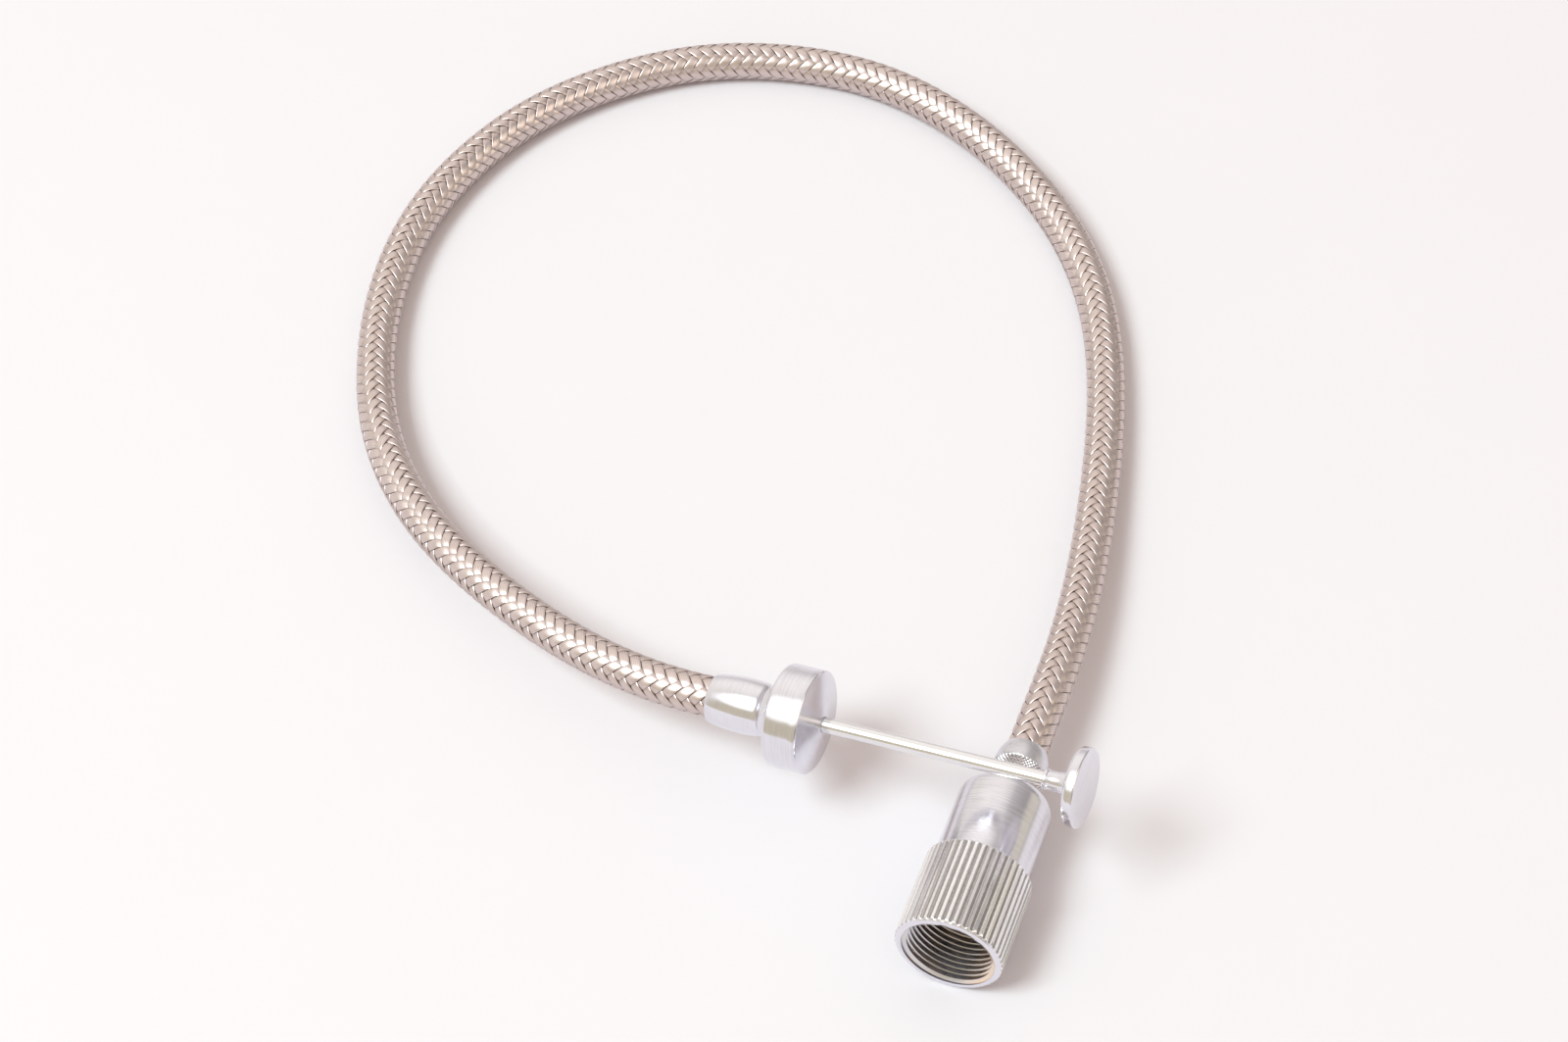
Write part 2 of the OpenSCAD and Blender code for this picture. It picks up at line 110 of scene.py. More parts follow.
BUTTON_R, BUTTON_BACK, BUTTON_FACE, BACK_ROUND, FACE_ROUND = 4.75, 32.2, 33.7, 0.6, 0.25
SLEEVE_AT, SOCKET_R, SOCKET_END, BEAD_R = 28.7, 0.92, 32.8, 0.08
SPRING_FRONT, SPRING_REAR = 1.62, 19.78  # distances behind the flange's front rim
SPRING_R, SPRING_WIRE, SPRING_TURNS = 1.45, 0.3, 12

# Floor and key lamp, in metres and watts
FLOOR_HALF, FLOOR_GAP = 3.0, 0.00002
KEY_AIM, KEY_DIRECTION = (-0.04, 0.05, 0), (-0.36, -0.45, 0.82)
KEY_DISTANCE, KEY_SIZE, KEY_POWER = 2.4, 0.92, 37.0


# ------------------------------------------------------------------ frames
def axes_matrix(x, y, z, origin):
    """The matrix with these three axes and this origin, in metres."""
    out = Matrix.Identity(4)
    for column, vector in enumerate((x, y, z, origin)):
        for row in range(3):
            out[row][column] = vector[row]
    return out


def bell_frame():
    """Local z is the station behind the mouth, along +Y."""
    return axes_matrix((1, 0, 0), (0, 0, -1), (0, 1, 0), (0, 0, 0))


def handle_frame():
    """Local z points along the rod to the button, from the flange's front rim."""
    z = Vector(ROD_DIR)
    x = z.cross(Vector((0, 0, 1))).normalized()
    return axes_matrix(x, z.cross(x), z, HANDLE_AT * MM)


def bell_point(s):
    """A point on the bell's axis, s behind its mouth."""
    return np.array([0, s, 0])


def handle_point(h):
    """A point on the rod's axis, h behind the flange's front rim."""
    return HANDLE_AT - h * ROD_DIR


def photo_camera():
    cam = bpy.data.objects.new("camera", bpy.data.cameras.new("camera"))
    cam.data.lens, cam.data.sensor_width = CAM_LENS, CAM_SENSOR
    cam.data.clip_start, cam.data.clip_end = CAM_CLIP
    cam.matrix_world = axes_matrix(CAM_RIGHT, np.cross(CAM_RIGHT, CAM_FORWARD), -CAM_FORWARD, CAM_AT)
    scene.collection.objects.link(cam)
    scene.camera = cam


# ------------------------------------------------------------------ the cable's centreline
def spline(points, start_dir, end_dir):
    """A clamped cubic through the points, resampled at an even step."""
    p = np.array(points, float)
    t = np.concatenate([[0], np.cumsum(np.linalg.norm(np.diff(p, axis=0), axis=1))])
    n, h = len(p), np.diff(t)
    a, b = np.zeros((n, n)), np.zeros((n, 3))
    a[0, 0] = a[-1, -1] = 1
    b[0], b[-1] = start_dir, end_dir
    for i in range(1, n - 1):
        a[i, i - 1], a[i, i], a[i, i + 1] = h[i], 2 * (h[i - 1] + h[i]), h[i - 1]
        b[i] = 3 * (h[i] * (p[i] - p[i - 1]) / h[i - 1] + h[i - 1] * (p[i + 1] - p[i]) / h[i])
    d = np.linalg.solve(a, b)
    u = np.linspace(0, t[-1], 8000)
    k = np.clip(np.searchsorted(t, u, side="right") - 1, 0, n - 2)
    w = ((u - t[k]) / h[k])[:, None]
    hk = h[k][:, None]
    q = ((1 + 2 * w) * (1 - w) ** 2 * p[k] + w * (1 - w) ** 2 * hk * d[k]
         + w * w * (3 - 2 * w) * p[k + 1] + w * w * (w - 1) * hk * d[k + 1])
    s = np.concatenate([[0], np.cumsum(np.linalg.norm(np.diff(q, axis=0), axis=1))])
    e = np.arange(0, s[-1], LINE_STEP)
    return np.stack([np.interp(e, s, q[:, i]) for i in range(3)], 1)


def whole_line():
    """Straight in the handle, free, and straight in the neck and bell."""
    bend = bell_point(COLLAR_REAR + NECK_RUN)
    free = spline([handle_point(BEND_AT)] + FREE_RUN + [bend], -ROD_DIR, (0, -1, 0))
    in_handle = [handle_point(h) for h in np.arange(WIRE_REAR, BEND_AT - LINE_STEP / 2, LINE_STEP)]
    in_bell = [bell_point(s) for s in np.arange(bend[1], WIRE_FRONT - LINE_STEP / 2, -LINE_STEP)]
    return np.concatenate([in_handle, free, in_bell])


def carried_normals(tangents):
    """Normals along the line that turn as little as they can."""
    out = np.zeros_like(tangents)
    v = np.cross(tangents[0], (0, 0, 1.0))
    out[0] = v / np.linalg.norm(v)
    for i in range(1, len(tangents)):
        v = out[i - 1] - tangents[i] * np.dot(out[i - 1], tangents[i])
        out[i] = v / np.linalg.norm(v)
    return out


LINE = whole_line()
ARC = np.concatenate([[0], np.cumsum(np.linalg.norm(np.diff(LINE, axis=0), axis=1))])
TANGENT = np.gradient(LINE, axis=0)
TANGENT /= np.linalg.norm(TANGENT, axis=1)[:, None]
NORMAL = carried_normals(TANGENT)
BINORMAL = np.cross(TANGENT, NORMAL)


def arc_at(point):
    """The arc along the centreline, in mm, where it is nearest to the point."""
    return ARC[np.argmin(np.linalg.norm(LINE - point, axis=1))]


U_SHEATH = (arc_at(handle_point(SHEATH_REAR)), arc_at(bell_point(SHEATH_FRONT)))
U_CONDUIT = (arc_at(handle_point(CONDUIT_REAR)), arc_at(bell_point(CONDUIT_FRONT)))


def on_cable(u, theta, r):
    """Points at arc u, angle theta and radius r round the centreline, in metres."""
    c, n, b = (np.stack([np.interp(u, ARC, m[:, i]) for i in range(3)], -1) for m in (LINE, NORMAL, BINORMAL))
    return (c + r[..., None] * (np.cos(theta)[..., None] * n + np.sin(theta)[..., None] * b)) * MM


# ------------------------------------------------------------------ mesh helpers
WELD = 2e-7  # metres


def add_mesh(name, verts, faces, mats, rub_and_shade=None):
    """faces is a list of index arrays, each with its own number of corners. The last argument is a value per
    vertex: 1 where the metal is rubbed bright, 0 in the low places, which take dirt and painted shade.
    """
    me = bpy.data.meshes.new(name)
    verts = np.asarray(verts, np.float32).reshape(-1, 3)
    loops = np.concatenate([f.astype(np.int32).ravel() for f in faces])
    sizes = np.concatenate([np.full(len(f), f.shape[1], np.int32) for f in faces])
    me.vertices.add(len(verts))
    me.vertices.foreach_set("co", verts.ravel())
    me.loops.add(len(loops))
    me.loops.foreach_set("vertex_index", loops)
    me.polygons.add(len(sizes))
    me.polygons.foreach_set("loop_start", np.concatenate([[0], np.cumsum(sizes)[:-1]]).astype(np.int32))
    me.update(calc_edges=True)
    me.polygons.foreach_set("use_smooth", [True] * len(me.polygons))
    if rub_and_shade is not None:
        values = np.asarray(rub_and_shade, np.float32).ravel()
        me.attributes.new("rub_and_shade", "FLOAT", "POINT").data.foreach_set("value", values)
    me.update()
    ob = bpy.data.objects.new(name, me)
    scene.collection.objects.link(ob)
    for one in mats:
        me.materials.append(one)
    return ob


def grid_faces(rows, cols, closed=True, flip=False):
    """Quads between the points of a grid. Where it is closed, the last column joins the first."""
    r = np.arange(rows - 1)[:, None]
    c = np.arange(cols if closed else cols - 1)[None, :]
    d = (c + 1) % cols
    f = np.stack([r * cols + c, r * cols + d, (r + 1) * cols + d, (r + 1) * cols + c], -1).reshape(-1, 4)
    return f[:, ::-1] if flip else f


def end_caps(rows, cols):
    """The first and the last ring of a grid, each as one face."""
    return [np.arange(cols)[None, :], ((rows - 1) * cols + np.arange(cols))[None, ::-1]]


def lathe(name, profile, place, mats, seg, sharp, shape=None, pick=None):
    """Turns a profile of (radius, station) about local z. Edges over sharp degrees stay sharp.
    shape(theta, r, z) -> (r, value) cuts knurls and flutes; the value is 1 where rubbed bright and 0 where dirt and
    painted shade darken. pick(r, z) gives each face's index in mats.
    The map "turn" holds the angle, as a share of a turn, and the way along the profile in mm."""
    prof = np.array(profile, float)
    rows = len(prof)
    way = np.concatenate([[0], np.cumsum(np.linalg.norm(np.diff(prof, axis=0), axis=1))])
    th = np.linspace(0, TURN, seg, endpoint=False)
    r, z = np.repeat(prof[:, :1], seg, 1), np.repeat(prof[:, 1:], seg, 1)
    rub_and_shade = np.full_like(r, 0.5)
    if shape is not None:
        r, rub_and_shade = shape(np.repeat(th[None, :], rows, 0), r, z)
    v = np.stack([r * np.cos(th), r * np.sin(th), z], -1) * MM
    ob = add_mesh(name, v, [grid_faces(rows, seg)], mats, rub_and_shade)
    ob.data.transform(place)
    c = np.tile(np.arange(seg), rows - 1)
    w = np.repeat(np.arange(rows - 1), seg)
    turned = np.stack([c, c + 1, c + 1, c], 1) / seg
    passed = np.stack([way[w], way[w], way[w + 1], way[w + 1]], 1)
    uv = np.stack([turned, passed], -1).astype(np.float32)
    ob.data.uv_layers.new(name="turn").data.foreach_set("uv", uv.ravel())
    if pick is not None:
        mid_r, mid_z = (prof[:-1, 0] + prof[1:, 0]) / 2, (prof[:-1, 1] + prof[1:, 1]) / 2
        ob.data.polygons.foreach_set("material_index", pick(mid_r, mid_z).astype(np.int32)[w])
    bm = bmesh.new()
    bm.from_mesh(ob.data)
    bmesh.ops.remove_doubles(bm, verts=bm.verts, dist=WELD)
    bmesh.ops.recalc_face_normals(bm, faces=bm.faces)
    for e in bm.edges:
        e.smooth = e.calc_face_angle(0) < math.radians(sharp)
    bm.to_mesh(ob.data)
    bm.free()
    ob.data.update()
    return ob


def arc(cr, cz, r, a0, a1, n):
    """n points on an arc round (cr, cz), angles in degrees, 0 along +radius and 90 along +station."""
    return [(cr + r * math.cos(math.radians(a)), cz + r * math.sin(math.radians(a)))
            for a in np.linspace(a0, a1, n)]


def dense(profile, step):
    """The profile with points added, so that none of its steps is longer than step."""
    out = [profile[0]]
    for a, b in zip(profile, profile[1:]):
        n = max(1, int(math.ceil(math.dist(a, b) / step)))
        out += [(a[0] + (b[0] - a[0]) * k / n, a[1] + (b[1] - a[1]) * k / n) for k in range(1, n + 1)]
    return out


def finish_piece(ob, body, slot, *nodes):
    """The piece's body, its material slot, which is not used, and the CAD nodes that it replaces."""
    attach(ob, body)
    if nodes:
        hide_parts(*nodes)


# ------------------------------------------------------------------ shader helpers
# Scales of the noise on metal, per metre, from the coarse to the fine
CLOUD, PATCH, WIRE_CLOUD, THREAD_CLOUD, GRAIN, SPECK = 260.0, 420.0, 700.0, 900.0, 4000.0, 5200.0


def new_material(name, rough, metallic=1.0):
    mat = bpy.data.materials.new(name)
    mat.use_nodes = True
    nt = mat.node_tree
    bsdf = nt.nodes["Principled BSDF"]
    bsdf.inputs["Metallic"].default_value = metallic
    bsdf.inputs["Roughness"].default_value = rough
    return mat, nt, bsdf


def node(nt, kind, **values):
    n = nt.nodes.new(kind)
    for k, v in values.items():
        if k in n.inputs.keys():
            n.inputs[k].default_value = v
        else:
            setattr(n, k, v)
    return n


def feed(nt, socket, value):
    """Links another node's output to the socket, or writes a constant on it."""
    if isinstance(value, bpy.types.NodeSocket):
        nt.links.new(value, socket)
    elif isinstance(value, tuple):
        socket.default_value = (*value, 1)
    else:
        socket.default_value = value


def maths(nt, operation, a, b=None):
    n = node(nt, "ShaderNodeMath", operation=operation)
    feed(nt, n.inputs[0], a)
    if b is not None:
        feed(nt, n.inputs[1], b)
    return n.outputs[0]


def mix(nt, kind, fac, a, b):
    n = node(nt, "ShaderNodeMix", data_type="RGBA", blend_type=kind)
    for socket, value in ((n.inputs[0], fac), (n.inputs[6], a), (n.inputs[7], b)):
        feed(nt, socket, value)
    return n.outputs[2]


def ramp(nt, source, stops):
    """A colour from a value, by stops of (value, colour)."""
    n = nt.nodes.new("ShaderNodeValToRGB")
    while len(n.color_ramp.elements) < len(stops):
        n.color_ramp.elements.new(0.5)
    for e, (at, c) in zip(n.color_ramp.elements, stops):
        e.position = at
        e.color = (*c, 1)
    nt.links.new(source, n.inputs["Fac"])
    return n.outputs["Color"]


def noise(nt, vector, scale, detail, rough=0.6):
    n = node(nt, "ShaderNodeTexNoise", Scale=scale, Detail=detail, Roughness=rough)
    nt.links.new(vector, n.inputs["Vector"])
    return n.outputs["Fac"]


def spread(nt, source, low, high, from_low=0.3, from_high=0.7):
    """Maps from_low to low and from_high to high, and holds these beyond them."""
    n = nt.nodes.new("ShaderNodeMapRange")
    for k, v in (("From Min", from_low), ("From Max", from_high), ("To Min", low), ("To Max", high)):
        n.inputs[k].default_value = v
    nt.links.new(source, n.inputs["Value"])
    return n.outputs["Result"]


def split(nt, vector):
    """The three parts of a vector."""
    n = nt.nodes.new("ShaderNodeSeparateXYZ")
    nt.links.new(vector, n.inputs["Vector"])
    return n.outputs


def object_coordinates(nt):
    return node(nt, "ShaderNodeTexCoord").outputs["Object"]


def rub_and_shade_mask(nt):
    """The mesh's own values: 0 in the low places, where dirt and painted shade darken the colour, 1 where it is
    rubbed bright.
    """
    return node(nt, "ShaderNodeAttribute", attribute_name="rub_and_shade").outputs["Fac"]


def bump(nt, bsdf, layers):
    """layers of (height, strength, distance in mm), from the coarse to the fine."""
    last = None
    for height, strength, distance in layers:
        b = node(nt, "ShaderNodeBump", Strength=strength, Distance=distance * MM)
        nt.links.new(height, b.inputs["Height"])
        if last is not None:
            nt.links.new(last, b.inputs["Normal"])
        last = b.outputs["Normal"]
    nt.links.new(last, bsdf.inputs["Normal"])


def grain(nt, bsdf, co):
    """The fine unevenness of drawn or cast metal."""
    bump(nt, bsdf, [(noise(nt, co, GRAIN, 2.0), 0.12, 0.02)])


# ------------------------------------------------------------------ materials
def lathe_marks(nt, lines, arcs):
    """Noise with so many lines per mm along the profile, broken into arcs round a turn."""
    turned = split(nt, node(nt, "ShaderNodeUVMap", uv_map="turn").outputs["UV"])
    angle = maths(nt, "MULTIPLY", turned["X"], TURN)
    ring = nt.nodes.new("ShaderNodeCombineXYZ")
    nt.links.new(maths(nt, "MULTIPLY", maths(nt, "COSINE", angle), arcs), ring.inputs["X"])
    nt.links.new(maths(nt, "MULTIPLY", maths(nt, "SINE", angle), arcs), ring.inputs["Y"])
    nt.links.new(maths(nt, "MULTIPLY", turned["Y"], lines), ring.inputs["Z"])
    return noise(nt, ring.outputs["Vector"], 1.0, 2.0, 0.55)


def turned_metal(name, light, dark, rough, brush, lines, arcs=5.0, aniso=0.0, pits=0.0, dirt_and_shade=None):
    """Plated metal with the marks of the lathe. brush, aniso and pits say how strong the marks, the stretch of
    reflections and the pits are. The last argument is the colour of dirt and painted shade, which fills the low
    places, where the mesh's value is 0."""
    mat, nt, bsdf = new_material(name, rough)
    line = lathe_marks(nt, lines, arcs)
    co = object_coordinates(nt)
    cloud = noise(nt, co, CLOUD, 4.0)
    speck = noise(nt, co, SPECK, 2.0)
    colour = ramp(nt, cloud, [(0.3, dark), (0.65, light)])
    lined = ramp(nt, line, [(0.36, (1 - 0.22 * brush,) * 3), (0.56, (1, 1, 1))])
    colour = mix(nt, "MULTIPLY", 1.0, colour, lined)
    layers = [(line, 0.5 * brush, 0.02)]
    if pits:
        pitted = ramp(nt, speck, [(0.34, (1 - 0.4 * pits,) * 3), (0.5, (1, 1, 1))])
        colour = mix(nt, "MULTIPLY", 1.0, colour, pitted)
        layers.append((speck, 0.6 * pits, 0.03))
    # Dirt and painted shade fill the low places, speckled.
    if dirt_and_shade is not None:
        low = ramp(nt, speck, [(0.36, tuple(c * 0.74 for c in dirt_and_shade)), (0.56, dirt_and_shade)])
        colour = mix(nt, "MIX", rub_and_shade_mask(nt), low, colour)
    nt.links.new(colour, bsdf.inputs["Base Color"])
    nt.links.new(spread(nt, cloud, rough * 0.85, rough * 1.2), bsdf.inputs["Roughness"])
    if aniso:
        bsdf.inputs["Anisotropic"].default_value = aniso
        bsdf.inputs["Anisotropic Rotation"].default_value = 0.25
        tangent = node(nt, "ShaderNodeTangent", direction_type="UV_MAP", uv_map="turn")
        nt.links.new(tangent.outputs["Tangent"], bsdf.inputs["Tangent"])
    bump(nt, bsdf, layers)
    return mat


def plain_metal(name, light, dark, rough, dirt_and_shade=None):
    """Metal without lathe marks: wire and inner pieces."""
    mat, nt, bsdf = new_material(name, rough)
    co = object_coordinates(nt)
    cloud = noise(nt, co, WIRE_CLOUD, 4.0)
    colour = ramp(nt, cloud, [(0.32, dark), (0.62, light)])
    # Dirt and painted shade where the mesh's value is low; on the braid, between the wires, at the edges and under
    # the crossings.
    if dirt_and_shade is not None:
        colour = mix(nt, "MIX", rub_and_shade_mask(nt), dirt_and_shade, colour)
    nt.links.new(colour, bsdf.inputs["Base Color"])
    nt.links.new(spread(nt, cloud, rough * 0.8, rough * 1.25), bsdf.inputs["Roughness"])
    grain(nt, bsdf, co)
    return mat


def thread_metal():
    """Crests rubbed bright, with a painted highlight, over flanks darkened as painted shade.
    Both turn to copper on one side of the bore and, by half, deep in it.
    """
    mat, nt, bsdf = new_material("thread_metal", 0.22)
    co = object_coordinates(nt)
    at = split(nt, co)
    side = spread(nt, at["X"], 0.0, 1.0, 1.2 * MM, 4.2 * MM)
    deep = spread(nt, at["Y"], 0.0, 0.55, 3.5 * MM, 7.0 * MM)
    patch = spread(nt, noise(nt, co, PATCH, 2.0), -0.22, 0.22)
    bare = maths(nt, "ADD", maths(nt, "MAXIMUM", side, deep), patch)
    bare.node.use_clamp = True
    # Painted shade on the flanks; rubbing and a painted highlight on the crests.
    flank = mix(nt, "MIX", bare, (0.62, 0.605, 0.645), (0.92, 0.73, 0.57))
    crest = mix(nt, "MIX", bare, (0.93, 0.93, 0.97), (0.94, 0.89, 0.86))
    nt.links.new(mix(nt, "MIX", rub_and_shade_mask(nt), flank, crest), bsdf.inputs["Base Color"])
    nt.links.new(spread(nt, noise(nt, co, THREAD_CLOUD, 4.0), 0.20, 0.27), bsdf.inputs["Roughness"])
    grain(nt, bsdf, co)
    return mat


CHROME, CHROME_DULL = (0.80, 0.785, 0.85), (0.74, 0.725, 0.78)
M_BAND = turned_metal("bell_nickel", CHROME, CHROME_DULL, 0.17, brush=0.6, lines=15.0, arcs=1.6, aniso=0.35)
# The grip's flutes take dirt and painted shade at their bottoms.
M_GRIP = turned_metal("grip_nickel", (0.90, 0.885, 0.90), (0.80, 0.785, 0.81), 0.23, brush=0.15, lines=9.0,
                      pits=0.22, dirt_and_shade=(0.40, 0.37, 0.36))
# The bell's inside is darker metal: painted shade.
M_SHADED_INSIDE = turned_metal("bell_inside_painted_shade", (0.62, 0.61, 0.66), (0.40, 0.38, 0.41), 0.30, brush=0.5, lines=6.0)
M_RIM = turned_metal("rim_nickel", CHROME, CHROME, 0.22, brush=0.2, lines=9.0)
M_COLLAR = turned_metal("collar_nickel", CHROME, (0.66, 0.645, 0.68), 0.30, brush=0.3, lines=22.0,
                        pits=0.3, dirt_and_shade=(0.42, 0.38, 0.37))
M_FLANGE = turned_metal("flange_nickel", CHROME, CHROME_DULL, 0.15, brush=0.45, lines=18.0, arcs=1.4, aniso=0.35)
M_FACE = turned_metal("faced_nickel", CHROME, CHROME_DULL, 0.21, brush=0.3, lines=11.0, arcs=1.6, aniso=0.5)
M_PLATE = turned_metal("bright_nickel", CHROME, CHROME_DULL, 0.13, brush=0.3, lines=14.0, arcs=1.6, aniso=0.2)
M_ROD = turned_metal("rod_steel", (0.82, 0.81, 0.83), (0.78, 0.77, 0.79), 0.15, brush=0.1, lines=3.0)
# Its last colour is dirt and painted shade, between the wires and under the crossings.
M_BRAID = plain_metal("braid_wire", (0.815, 0.70, 0.68), (0.73, 0.62, 0.595), 0.34, dirt_and_shade=(0.33, 0.27, 0.25))
M_CONDUIT = plain_metal("conduit_wire", (0.34, 0.27, 0.24), (0.24, 0.19, 0.17), 0.5)
M_STEEL = plain_metal("inner_steel", (0.62, 0.60, 0.58), (0.5, 0.48, 0.46), 0.3)
M_BRASS = plain_metal("inner_brass", (0.62, 0.48, 0.28), (0.5, 0.38, 0.22), 0.32)
M_DARK = plain_metal("dark_washer", (0.22, 0.20, 0.19), (0.13, 0.12, 0.11), 0.45)
M_THREAD = thread_metal()


# ------------------------------------------------------------------ cable: core wire, conduit and braid
def tube(name, u0, u1, step, sides, radius, mat):
    """A closed-ended tube along the cable. radius(u) may carry the conduit's turns."""
    u = np.arange(u0, u1, step)
    th = np.linspace(0, TURN, sides, endpoint=False)
    uu, tt = np.meshgrid(u, th, indexing="ij")
    faces = [grid_faces(len(u), sides, flip=True)] + end_caps(len(u), sides)
    return add_mesh(name, on_cable(uu, tt, radius(uu)), faces, [mat])


def ribbon_section():
    """Across a ribbon of wires: place, height and value for rubbing and painted shade of each point, with two more
    under its edges. Painted shade darkens it between the wires and at its edges.
    """
    k = np.arange(2 * WIRES + 1)
    wire_top, edge = k % 2 == 1, (k == 0) | (k == 2 * WIRES)
    v = np.concatenate([-WIDE / 2 + WIDE * k / (2 * WIRES), [WIDE / 2 - 0.02, -WIDE / 2 + 0.02]])
    rounding = 0.06 * (1 - np.abs(k / WIRES - 1) ** 3)
    height = np.concatenate([rounding + 0.03 * wire_top - 0.04 * edge, [-THICK, -THICK]])
    # Wire tops are rubbed bright; between the wires and at the edges, painted shade.
    rub_and_shade = np.concatenate([np.where(edge, 0.15, np.where(wire_top, 1.0, 0.45)), [0, 0]])
    return v, height, rub_and_shade


def strand(index, hand):
    """One ribbon, wound with hand +1 or -1. It passes over two of the other hand and under two. Returns its points
    and their values for rubbing and painted shade."""
    u = np.arange(U_SHEATH[0], U_SHEATH[1], STRAND_STEP)
    v, height, rub_and_shade = ribbon_section()
    lay = math.atan(TURN * R_MID / PITCH)
    round_it = v * math.cos(lay) * hand
    theta = hand * (TURN * u[:, None] / PITCH) + TURN * index / STRANDS + round_it[None, :] / R_MID
    along = u[:, None] - v[None, :] * math.sin(lay)
    spaces = theta * STRANDS / TURN  # the angle, in spaces between strands
    crossings = spaces + hand * STRANDS * along / PITCH
    over = hand * np.cos(TURN * (index + crossings - 0.5) / 4)  # 1 on top, -1 underneath
    over = np.tanh(1.6 * over) / math.tanh(1.6)
    r = R_MID + LIFT * over + height[None, :]
    # Painted shade: darker where the strand dips under the other hand.
    rub_and_shade = rub_and_shade[None, :] * np.clip(0.62 + 0.5 * over, 0.1, 1)
    twist = np.radians(np.interp(along, *zip(*BRAID_TWIST)))
    return on_cable(np.clip(along, *U_SHEATH), theta + twist, r), rub_and_shade


def braid(index):
    """A mesh with one strand of each hand."""
    points, rub_and_shade, faces, at = [], [], [], 0
    for hand in (1, -1):
        p, w = strand(index, hand)
        rows, cols = p.shape[:2]
        caps = [cap + at for cap in end_caps(rows, cols)]
        faces += [grid_faces(rows, cols, flip=hand < 0) + at] + [c if hand < 0 else c[:, ::-1] for c in caps]
        points.append(p.reshape(-1, 3))
        rub_and_shade.append(w.ravel())
        at += rows * cols
    return add_mesh("braid_%d" % (index + 1), np.concatenate(points), faces, [M_BRAID], np.concatenate(rub_and_shade))


def cable():
    wire = tube("core_wire_smooth", 0.0, ARC[-1], 1.0, 12, lambda u: np.full_like(u, WIRE_R), M_STEEL)
    conduit = tube("conduit_wound", *U_CONDUIT, COIL_PITCH / 5, 18,
                   lambda u: CONDUIT_R + COIL_DEPTH * np.sin(TURN * u / COIL_PITCH), M_CONDUIT)
    braids = [braid(index) for index in range(STRANDS)]
    finish_piece(wire, "root", "steel_pin", "core_wire")
    finish_piece(conduit, "root", "dark_steel", "wire_conduit")
    for ob in braids:
        finish_piece(ob, "root", "braid", "braided_sheath")


# ------------------------------------------------------------------ bell
def flute_shape(th, r, z):
    """Round-bottomed flutes from the mouth's bevel to the bevel behind the grip."""
    x = ((th / TURN * FLUTES) % 1.0 - 0.5) * TURN * BELL_R / FLUTES  # across the flute, from its middle
    depth = np.sqrt(np.clip(FLUTE_R ** 2 - x ** 2, 0, None)) - (FLUTE_R - FLUTE_DEPTH)
    floor = BELL_R - np.clip(depth, 0, None)
    outside = (r > BAND_R + 0.02) & (z > 0.001)
    cut = np.where(outside, np.minimum(r, floor), r)
    # Dirt and painted shade: darkest at each flute's bottom.
    rub_and_shade = 1 - np.clip((r - cut) / FLUTE_DEPTH, 0, 1) ** 1.6
    return cut, np.where(outside, rub_and_shade, 1.0)


def bell_profile():
    """Rim, bevel, grip, bevel, band and dome, and back through the stepped bore."""
    bore_r, bore_end = THREAD_ROOT_R + 0.01, THREAD_LEN + 0.05
    rim = [(BELL_R - 0.38, 0.0), (BELL_R - 0.3, 0.02), (BELL_R - EDGE, 0.27), (BELL_R, 0.34)]
    grip = [rim[-1], (BELL_R, GRIP_LEN - 0.06)]
    bevel = [grip[-1], (BELL_R - EDGE, GRIP_LEN + 0.03), (BAND_R + EDGE, GRIP_END - 0.03), (BAND_R, GRIP_END)]
    band = [bevel[-1], (BAND_R, BELL_LEN - DOME_R)]
    dome = arc(BAND_R - DOME_R, BELL_LEN - DOME_R, DOME_R, 0, 90, 20)
    profile = [(bore_r, 0.0)] + dense(rim, 0.05)
    for part, step in ((grip, 0.4), (bevel, 0.05), (band, 1.0)):
        profile += dense(part, step)[1:]
    profile += dome[1:] + [(SPINDLE_HOLE_R, BELL_LEN), (SPINDLE_HOLE_R, CHAMBER_END), (CHAMBER_R, CHAMBER_END)]
    return profile + [(CHAMBER_R, bore_end + 0.05), (bore_r, bore_end), (bore_r, 0.0)]


def bell_parts(r, z):
    """0 band, 1 grip, 2 bore and chamber, in darker metal as painted shade, 3 mouth rim."""
    inside = THREAD_ROOT_R + 0.02
    out = np.where((z < GRIP_END) & (r > BAND_R + 0.01), 1, 0)
    out = np.where((z < 0.3) & (r > inside), 3, out)
    return np.where((r < inside) & (z < CHAMBER_END + 0.1), 2, out)


